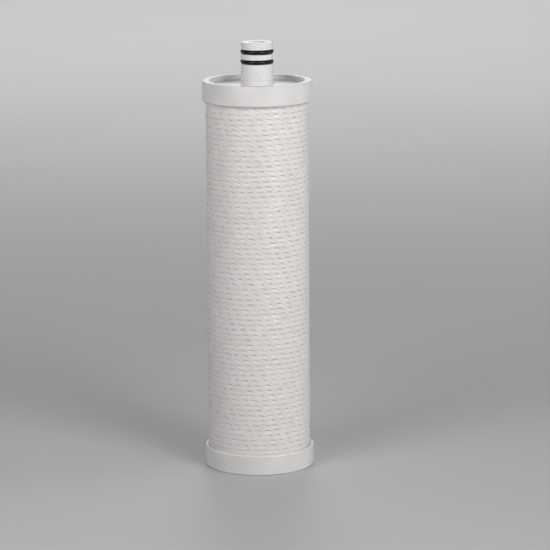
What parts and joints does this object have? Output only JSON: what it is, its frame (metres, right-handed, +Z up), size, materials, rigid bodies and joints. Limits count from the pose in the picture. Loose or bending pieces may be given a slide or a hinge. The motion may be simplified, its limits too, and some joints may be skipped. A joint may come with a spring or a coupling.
{
  "type": "water filter cartridge",
  "caption": "Cylindrical water filter cartridge with netted body, moulded end caps and a sealed outlet spigot on top.",
  "frame": {"origin": "on the ground under the centre of the bottom end cap", "axes": "+Z up along the cartridge's axis, from the bottom cap to the outlet spigot; X and Y are free, because the cartridge is round"},
  "size_m": [0.0704, 0.0704, 0.2742],
  "materials": {
    "end_cap": "white moulded polypropylene, satin",
    "spigot": "white moulded polypropylene, satin",
    "o_ring": "black nitrile rubber, greased",
    "net": "white extruded netting",
    "wrap": "white spunbond nonwoven",
    "prefilter": "white melt-blown fibre",
    "carbon": "sintered activated carbon, grainy",
    "liner": "white nonwoven",
    "adhesive": "set hot-melt adhesive, waxy"
  },
  "bodies": {
    "root": {"top_end_cap": "end_cap", "bottom_end_cap": "end_cap", "outlet_spigot": "spigot", "upper_o_ring": "o_ring", "lower_o_ring": "o_ring", "net_sleeve": "net", "outer_wrap": "wrap", "prefilter_layer": "prefilter", "carbon_block": "carbon", "core_liner": "liner", "top_bond": "adhesive", "bottom_bond": "adhesive"}
  },
  "joints": []
}
